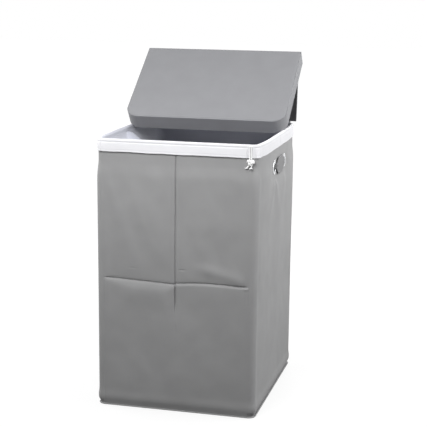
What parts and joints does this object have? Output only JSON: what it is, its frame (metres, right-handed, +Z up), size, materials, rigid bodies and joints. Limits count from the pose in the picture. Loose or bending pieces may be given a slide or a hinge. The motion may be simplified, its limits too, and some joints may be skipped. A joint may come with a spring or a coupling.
{
  "type": "laundry hamper with two bins",
  "caption": "Tall fabric laundry hamper with a divider, hung white liner bags, a folding lid on a sewn flap and strap handles in metal eyelets.",
  "frame": {"origin": "centre of the body's footprint, on the surface it stands on", "axes": "+X to the hamper's right as seen from the front, +Y to the back, +Z up"},
  "size_m": [0.4148, 0.4844, 0.832],
  "materials": {
    "body_cloth": "matt grey non-woven cloth",
    "lid_cloth": "matt grey non-woven cloth",
    "lining_cloth": "matt dark grey non-woven cloth",
    "liner_cloth": "soft white woven polyester",
    "cord": "white braided cord",
    "strap_cloth": "matt grey doubled cloth",
    "wall_board": "plain brown board",
    "eyelet_metal": "bright plated metal"
  },
  "bodies": {
    "body": {"front_cover": "body_cloth", "front_board_lower_left": "wall_board", "front_board_lower_right": "wall_board", "front_board_upper_left": "wall_board", "front_board_upper_right": "wall_board", "front_lining": "lining_cloth", "back_cover": "body_cloth", "back_board_lower_left": "wall_board", "back_board_lower_right": "wall_board", "back_board_upper_left": "wall_board", "back_board_upper_right": "wall_board", "back_lining": "lining_cloth", "left_side_cover": "body_cloth", "left_side_board": "wall_board", "left_side_lining": "lining_cloth", "right_side_cover": "body_cloth", "right_side_board": "wall_board", "right_side_lining": "lining_cloth", "bottom_cover": "body_cloth", "base_board": "wall_board", "foot_piping": "body_cloth", "divider_board": "wall_board", "divider_front_cloth": "lining_cloth", "divider_rear_cloth": "lining_cloth", "divider_top_binding": "lining_cloth", "front_liner_bag": "liner_cloth", "front_liner_hem": "liner_cloth", "rear_liner_bag": "liner_cloth", "rear_liner_hem": "liner_cloth", "front_drawstring": "cord", "front_drawstring_left_end": "cord", "front_drawstring_right_end": "cord", "front_drawstring_knot": "cord", "left_front_eyelet": "eyelet_metal", "left_front_washer": "eyelet_metal", "left_rear_eyelet": "eyelet_metal", "left_rear_washer": "eyelet_metal", "right_front_eyelet": "eyelet_metal", "right_front_washer": "eyelet_metal", "right_rear_eyelet": "eyelet_metal", "right_rear_washer": "eyelet_metal", "lid_flap_seam": "body_cloth"},
    "lid_flap": {"lid_rear_flap": "lid_cloth", "lid_rear_piping": "lid_cloth"},
    "lid_rear_panel": {"lid_rear_underside": "lining_cloth", "lid_rear_board": "wall_board", "lid_rear_top_cloth": "lid_cloth", "lid_fold_piping": "lid_cloth"},
    "lid_front_panel": {"lid_front_underside": "lining_cloth", "lid_front_board": "wall_board", "lid_front_top_cloth": "lid_cloth", "lid_front_skirt": "lid_cloth"},
    "right_handle": {"right_handle_strap": "strap_cloth", "right_front_strap_stop": "strap_cloth", "right_rear_strap_stop": "strap_cloth"},
    "left_handle": {"left_handle_strap": "strap_cloth", "left_front_strap_stop": "strap_cloth", "left_rear_strap_stop": "strap_cloth"}
  },
  "joints": [
    {"name": "lid_back_hinge", "type": "hinge", "parent": "body", "child": "lid_flap", "pos_m": [0, 0.2183, 0.607], "axis": [1, 0, 0], "range_deg": [-140, 0]},
    {"name": "lid_rear_hinge", "type": "hinge", "parent": "lid_flap", "child": "lid_rear_panel", "pos_m": [0, 0.2195, 0.652], "axis": [1, 0, 0], "range_deg": [0, 97]},
    {"name": "lid_fold_hinge", "type": "hinge", "parent": "lid_rear_panel", "child": "lid_front_panel", "pos_m": [0, 0.24119, 0.82867], "axis": [1, 0, 0], "range_deg": [-133.3, 0], "deforming": ["lid_front_skirt"]},
    {"name": "right_handle_pull", "type": "slide", "parent": "body", "child": "right_handle", "axis": [1, 0, 0], "range_m": [0, 0.008]},
    {"name": "left_handle_pull", "type": "slide", "parent": "body", "child": "left_handle", "axis": [-1, 0, 0], "range_m": [0, 0.008]}
  ],
  "couplings": [
    {"joint": "lid_rear_hinge", "follows": "lid_fold_hinge", "ratio": -0.72768}
  ]
}
